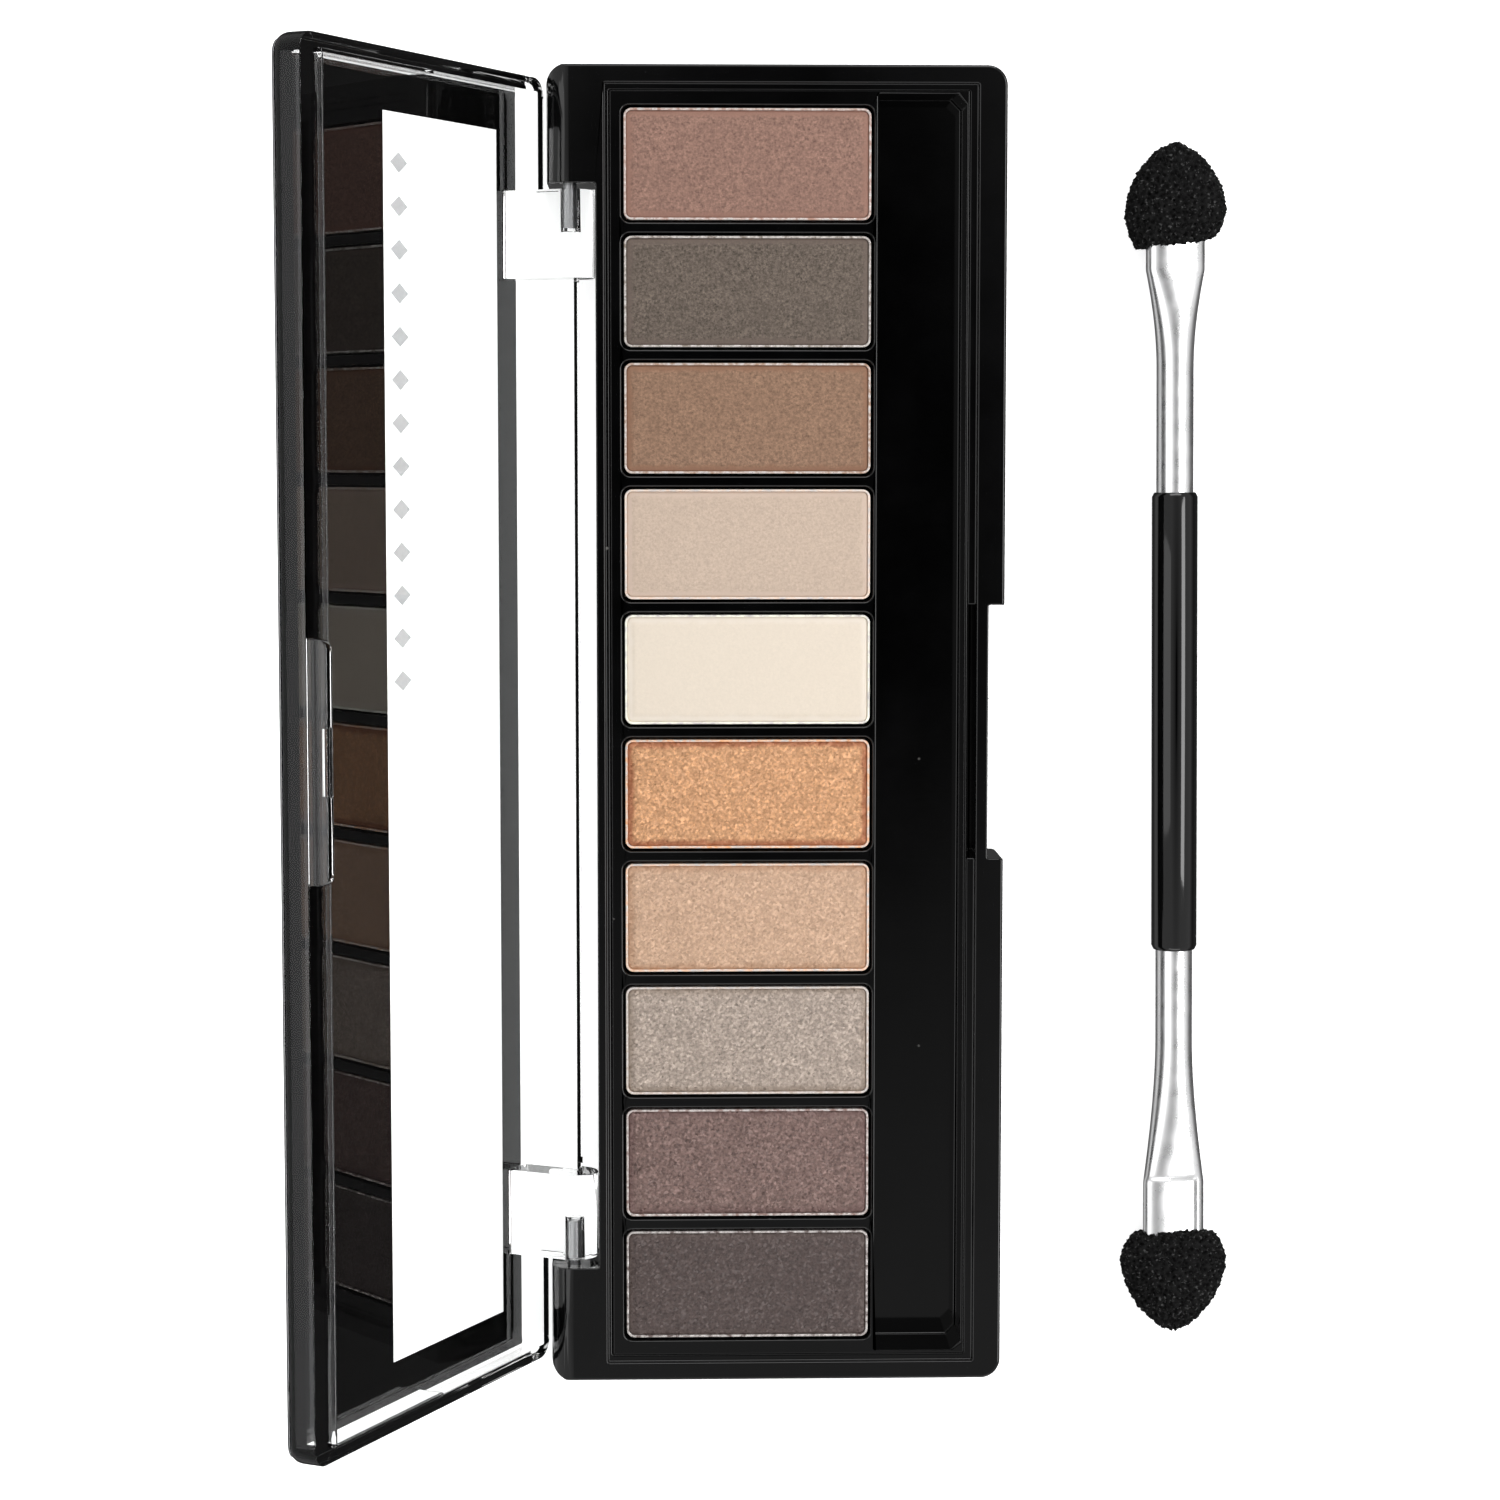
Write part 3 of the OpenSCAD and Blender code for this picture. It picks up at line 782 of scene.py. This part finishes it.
# Its base is rounded over this many millimetres, down to this share of its width
BASE_ROUNDING = 0.7
BASE_SHARE = 0.55
# The foam swells away from a middle this share of the way along a tip, with these weights
# along the tip and upwards
MIDDLE_SHARE = 0.45
OUTWARDS_ALONG = 0.6
OUTWARDS_UP = 1.6
# The foam's lumps, fuzz and pores: heights in millimetres, and noise cells to a metre
LUMP_HEIGHT = 0.14
LUMP_CELLS = 1300
FUZZ_HEIGHT = 0.28
FUZZ_CELLS = 4400
PORE_DEPTH = 0.75
PORE_SHARE = 0.55
PORE_CELLS = 1700
FOAM_SWELL = 0.07
# The press that flattens the stems' ends turns them a little about their axis
PRESS_TWIST = math.radians(11)
PRESSED_HALF_THICKNESS = 1.55 * MM
PRESSED_SQUARENESS = 0.7
# The crimp steps down between these two, in millimetres before a stem's full width, and
# fades out between these two shares of its half width
LEDGE_BEGINS = 0.9
LEDGE_ENDS = 0.3
LEDGE_FADES = 0.55
LEDGE_GONE = 0.75
STEM_POINTS = 96
STEM_ROWS = 200
TIP_POINTS = 240
TIP_ROWS = 124


def oval(half_x, half_z, exponent, count):
    """Points of a superellipse round the Y axis."""
    ring = []
    for step in range(count):
        turn = 2 * math.pi * step / count
        cos = math.cos(turn)
        sin = math.sin(turn)
        ring.append((math.copysign(abs(cos) ** (2 / exponent), cos) * half_x,
                     math.copysign(abs(sin) ** (2 / exponent), sin) * half_z))
    return ring


def crimp(facts, x, half_x, y):
    """How far the press's crimp sinks a stem's upper side, across at x and along at y."""
    begins = facts["straight"] - LEDGE_BEGINS
    along = smooth_step(begins, facts["straight"] - LEDGE_ENDS, y)
    across = smooth_step(-LEDGE_GONE * half_x, -LEDGE_FADES * half_x, -x)
    return facts["ledge"] * MM * along * across


def stem(name, metal):
    """Tube that flares and flattens towards the foam, with the crimp of its press."""
    facts = STEMS[name]
    wide = facts["half_width"] * MM
    rings = []
    for row in range(STEM_ROWS + 1):
        y = facts["hidden"] + (facts["end"] - facts["hidden"]) * row / STEM_ROWS
        share = min(max((y - facts["flare"]) / (facts["straight"] - facts["flare"]), 0.0), 1.0)
        flare = share ** facts["curve"]
        half_x = STEM_RADIUS + (wide - STEM_RADIUS) * flare
        half_z = STEM_RADIUS - (STEM_RADIUS - PRESSED_HALF_THICKNESS) * flare
        twist = PRESS_TWIST * flare
        ring = []
        for x, z in oval(half_x, half_z, 2 + PRESSED_SQUARENESS * flare, STEM_POINTS):
            if z > 0:
                z -= crimp(facts, x, half_x, y)
            ring.append((x * math.cos(twist) + z * math.sin(twist),
                         z * math.cos(twist) - x * math.sin(twist)))
        ring = [LAID_OUT @ Vector((x, facts["side"] * y * MM, z)) for x, z in ring]
        rings.append(ring if facts["side"] < 0 else ring[::-1])
    points, faces = loft(rings)
    piece = add_piece(f"bright_stem_{name}", points, faces, metal, "applicator")
    sharpen(piece, 40)
    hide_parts(f"applicator_stem_{name}")


def tip_half(facts, from_point):
    """Half width of a foam tip, millimetres from its point, as a share of its widest."""
    crown = facts["crown"]
    length = facts["end"] - facts["start"]
    if from_point < crown:
        power, roundness = facts["point"]
        return max(1 - ((crown - from_point) / crown) ** power, 0.0) ** roundness
    power, loss = facts["taper"]
    return 1 - loss * ((from_point - crown) / (length - crown)) ** power


def tip_rings(facts):
    """Rings of a smooth foam tip from its base to its point."""
    length = facts["end"] - facts["start"]
    rings = []
    for row in range(TIP_ROWS + 1):
        share = row / TIP_ROWS
        from_point = length * (1 + math.cos(math.pi * share)) / 2
        half = tip_half(facts, max(from_point, BLUNT))
        base = smooth_step(0.0, BASE_ROUNDING, length - from_point)
        shrink = BASE_SHARE + (1 - BASE_SHARE) * math.sqrt(1 - (1 - base) ** 2)
        half_x = half * facts["half_width"] * MM
        half_z = TIP_HALF_THICKNESS * half ** TIP_THINNING
        ring = []
        for x, z in oval(half_x * shrink, half_z * shrink, TIP_SQUARENESS, TIP_POINTS):
            lean = facts["slant"] * x * (from_point / length) ** 2
            ring.append(Vector((x, (facts["end"] - from_point) * MM + lean, z)))
        rings.append(ring)
    return rings


def roughened(place, middle):
    """A place on a smooth tip, moved out or in by the foam's lumps, fuzz and pores."""
    away = Vector((place.x, (place.y - middle.y) * OUTWARDS_ALONG, place.z * OUTWARDS_UP))
    outwards = away.normalized() if away.length > 0 else Vector((0, 1, 0))
    lumps = LUMP_HEIGHT * noise.fractal(place * LUMP_CELLS, 1.0, 2.0, 3)
    pore = noise.voronoi(place * PORE_CELLS)[0][0]
    depth = max(PORE_SHARE - pore, 0.0) * PORE_DEPTH
    fuzz = FUZZ_HEIGHT * noise.noise(place * FUZZ_CELLS)
    rough = place + outwards * (lumps + fuzz + FOAM_SWELL - depth) * MM
    rough.z = min(max(rough.z, -TIP_REACH), TIP_REACH)
    return rough


def foam_tip(name, foam):
    """Foam tip with its pores and lumps in the mesh, pressed flat top and bottom."""
    facts = TIPS[name]
    length = facts["end"] - facts["start"]
    middle = Vector((0, (facts["start"] + length * MIDDLE_SHARE) * MM, 0))
    placed = []
    for ring in tip_rings(facts):
        moved = []
        for place in ring:
            rough = roughened(place, middle)
            rough.y *= facts["side"]
            moved.append(LAID_OUT @ rough)
        placed.append(moved if facts["side"] < 0 else moved[::-1])
    points, faces = loft(placed)
    piece = add_piece(f"foam_tip_{name}", points, faces, foam, "applicator")
    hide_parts(f"applicator_sponge_{name}")
    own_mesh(piece)


# ------------------------------------------------------------------ case and carried-over nodes


def dress_case():
    """Looks of the base, the tray, the pans and the small parts."""
    paint("case_base", gloss_black("case_gloss_black", (0.0012, 0.0012, 0.0013), 0.06))
    paint("pan_tray", gloss_black("tray_gloss_black", (0.0010, 0.0010, 0.0011), 0.07))
    soften("case_base", 0.17 * MM, 3)
    soften("pan_tray", 0.18 * MM, 3)
    for index in range(PAN_COUNT):
        node = f"pan_{index + 1:02d}"
        paint(node, pan_metal(f"pan_pressed_metal_{index + 1:02d}", POWDERS[index]["colour"]))
        soften(node, 0.06 * MM, 2)
    paint("pan_glue_dots", set_glue())
    paint("underside_label", coated_paper())
    steel = drawn_steel()
    for node in ("hinge_pin_upper", "hinge_pin_lower"):
        paint(node, steel)
        soften(node, 0.06 * MM, 2)


def dress_lid():
    """The clear lid's look, and its two prints."""
    paint("lid_shell", clear_plastic())
    soften("lid_shell", 0.12 * MM, 3)
    lid_print()
    lid_motif()


def dress_applicator():
    """The handle's look, and both stems and tips."""
    metal = bright_metal()
    foam = black_foam()
    handle = gloss_black("handle_gloss_black", (0.0010, 0.0010, 0.0011), 0.06, 0.15)
    paint("applicator_handle", handle)
    soften("applicator_handle", 0.08 * MM, 2)
    for name in ("upper", "lower"):
        stem(name, metal)
        foam_tip(name, foam)


# ------------------------------------------------------------------ studio

# Dome of light round the palette: dark straight overhead, so that gloss black stays deep,
# bright from all sides, and dark below the table, most of all towards +X
OVERHEAD_STRETCH = (1.8, 1.0, 1.0)
OVERHEAD_AXIS = Vector((0.06, 0.0, 1.0)).normalized()
# Degrees from the axis, and the level of light there
OVERHEAD_STOPS = ((0, 0.0), (5, 0.005), (7, 0.06), (10, 0.25), (15, 0.42), (25, 0.62), (45, 1.0))
BELOW_AXIS = Vector((0.35, 0.0, -1.0)).normalized()
BELOW_STOPS = ((0, 0.10), (60, 0.14), (70, 0.45), (80, 1.0))
DOME_STRENGTH = 0.86

FLOOR_HALF = 3.0
# Just below the palette, so that the two faces don't meet
FLOOR_LEVEL = -0.02 * MM
FLOOR_GLOW = 0.6

# Each lamp: its place, what it points at, its size on its own X and Y, and its watts
LAMPS = {
    "key_strip": ((0.42, 0.0, 0.50), (0.046, 0.0, 0), 0.60, 0.20, 2.45),
    "left_bank": ((-0.55, 0.0, 0.58), (0.046, 0.0, 0), 0.60, 0.55, 1.1),
    "upper_strip": ((0.0, 0.85, 0.50), (0, 0, 0), 0.8, 0.36, 3.6),
    "lower_strip": ((0.0, -0.85, 0.50), (0, 0, 0), 0.8, 0.20, 1.2),
}

# The photographer's camera, fitted to the edges of the case, the lid and the applicator
CAMERA_PLACE = Vector((-13.398, 31.063, 392.896)) * MM
CAMERA_TURN = (-0.0860275, -0.0271451, 0.0002408)
FOCAL_LENGTH = 82.184
SENSOR_WIDTH = 36


def falloff(tree, direction, axis, stops):
    """Level of light by the angle in degrees between a direction and an axis."""
    dot = tree.nodes.new("ShaderNodeVectorMath")
    dot.operation = "DOT_PRODUCT"
    dot.inputs[1].default_value = axis
    tree.links.new(direction, dot.inputs[0])
    angle = tree.nodes.new("ShaderNodeMath")
    angle.operation = "ARCCOSINE"
    tree.links.new(dot.outputs["Value"], angle.inputs[0])
    share = tree.nodes.new("ShaderNodeMath")
    share.operation = "DIVIDE"
    share.inputs[1].default_value = math.pi
    tree.links.new(angle.outputs[0], share.inputs[0])
    ramp = tree.nodes.new("ShaderNodeValToRGB")
    marks = ramp.color_ramp.elements
    while len(marks) < len(stops):
        marks.new(0.5)
    for mark, (degrees, level) in zip(marks, stops):
        mark.position = degrees / 180
        mark.color = (level, level, level, 1)
    tree.links.new(share.outputs[0], ramp.inputs["Fac"])
    return ramp.outputs["Color"]


def dome():
    """World light: the overhead falloff times the one below, times the strength."""
    world = bpy.data.worlds.new("studio_dome")
    scene.world = world
    world.use_nodes = True
    tree = world.node_tree
    tree.nodes.clear()
    direction = tree.nodes.new("ShaderNodeTexCoord").outputs["Generated"]
    stretch = tree.nodes.new("ShaderNodeVectorMath")
    stretch.operation = "MULTIPLY"
    stretch.inputs[1].default_value = OVERHEAD_STRETCH
    tree.links.new(direction, stretch.inputs[0])
    unit = tree.nodes.new("ShaderNodeVectorMath")
    unit.operation = "NORMALIZE"
    tree.links.new(stretch.outputs[0], unit.inputs[0])
    level = tree.nodes.new("ShaderNodeMath")
    level.operation = "MULTIPLY"
    tree.links.new(falloff(tree, unit.outputs[0], OVERHEAD_AXIS, OVERHEAD_STOPS), level.inputs[0])
    tree.links.new(falloff(tree, direction, BELOW_AXIS, BELOW_STOPS), level.inputs[1])
    strength = tree.nodes.new("ShaderNodeMath")
    strength.operation = "MULTIPLY"
    strength.inputs[1].default_value = DOME_STRENGTH
    tree.links.new(level.outputs[0], strength.inputs[0])
    light = tree.nodes.new("ShaderNodeBackground")
    tree.links.new(strength.outputs[0], light.inputs["Strength"])
    output = tree.nodes.new("ShaderNodeOutputWorld")
    tree.links.new(light.outputs["Background"], output.inputs["Surface"])


def floor():
    """Plain white table."""
    corners = [(side_x * FLOOR_HALF, side_y * FLOOR_HALF, FLOOR_LEVEL)
               for side_x, side_y in ((-1, -1), (1, -1), (1, 1), (-1, 1))]
    mesh = bpy.data.meshes.new("studio_floor")
    mesh.from_pydata(corners, [], [(0, 1, 2, 3)])
    look = Surface("floor_white")
    paper = look.noise(3 * MM, 3.0, 0.5)
    look.set(Base_Color=look.mix(paper, (0.90, 0.90, 0.90, 1), (0.93, 0.93, 0.93, 1)))
    look.set(Roughness=0.9, Specular_IOR_Level=0.1)
    look.set(Emission_Color=(1.0, 1.0, 1.0, 1.0), Emission_Strength=FLOOR_GLOW)
    mesh.materials.append(look.material)
    table = bpy.data.objects.new("studio_floor", mesh)
    # Glossy pieces see the dome below the table instead, which outlines them in black
    table.visible_glossy = False
    scene.collection.objects.link(table)


def soft_box(name, place, target, size_x, size_y, power):
    """Rectangular area light."""
    light = bpy.data.lights.new(name, "AREA")
    light.shape = "RECTANGLE"
    light.size = size_x
    light.size_y = size_y
    light.energy = power
    lamp = bpy.data.objects.new(name, light)
    lamp.location = place
    lamp.rotation_euler = (Vector(target) - Vector(place)).to_track_quat("-Z", "Y").to_euler()
    scene.collection.objects.link(lamp)


def camera():
    """Camera with the photograph's perspective."""
    lens = bpy.data.cameras.new("photo_camera")
    lens.lens = FOCAL_LENGTH
    lens.sensor_width = SENSOR_WIDTH
    lens.clip_start = 0.01
    lens.clip_end = 20
    view = bpy.data.objects.new("photo_camera", lens)
    view.location = CAMERA_PLACE
    view.rotation_euler = CAMERA_TURN
    scene.collection.objects.link(view)
    scene.camera = view


# ------------------------------------------------------------------ the scene

scene.view_settings.view_transform = "Standard"
camera()
dome()
floor()
for lamp_name, facts in LAMPS.items():
    soft_box(lamp_name, *facts)

dress_case()
for pan_index in range(PAN_COUNT):
    powder_cake(pan_index)
dress_lid()
dress_applicator()
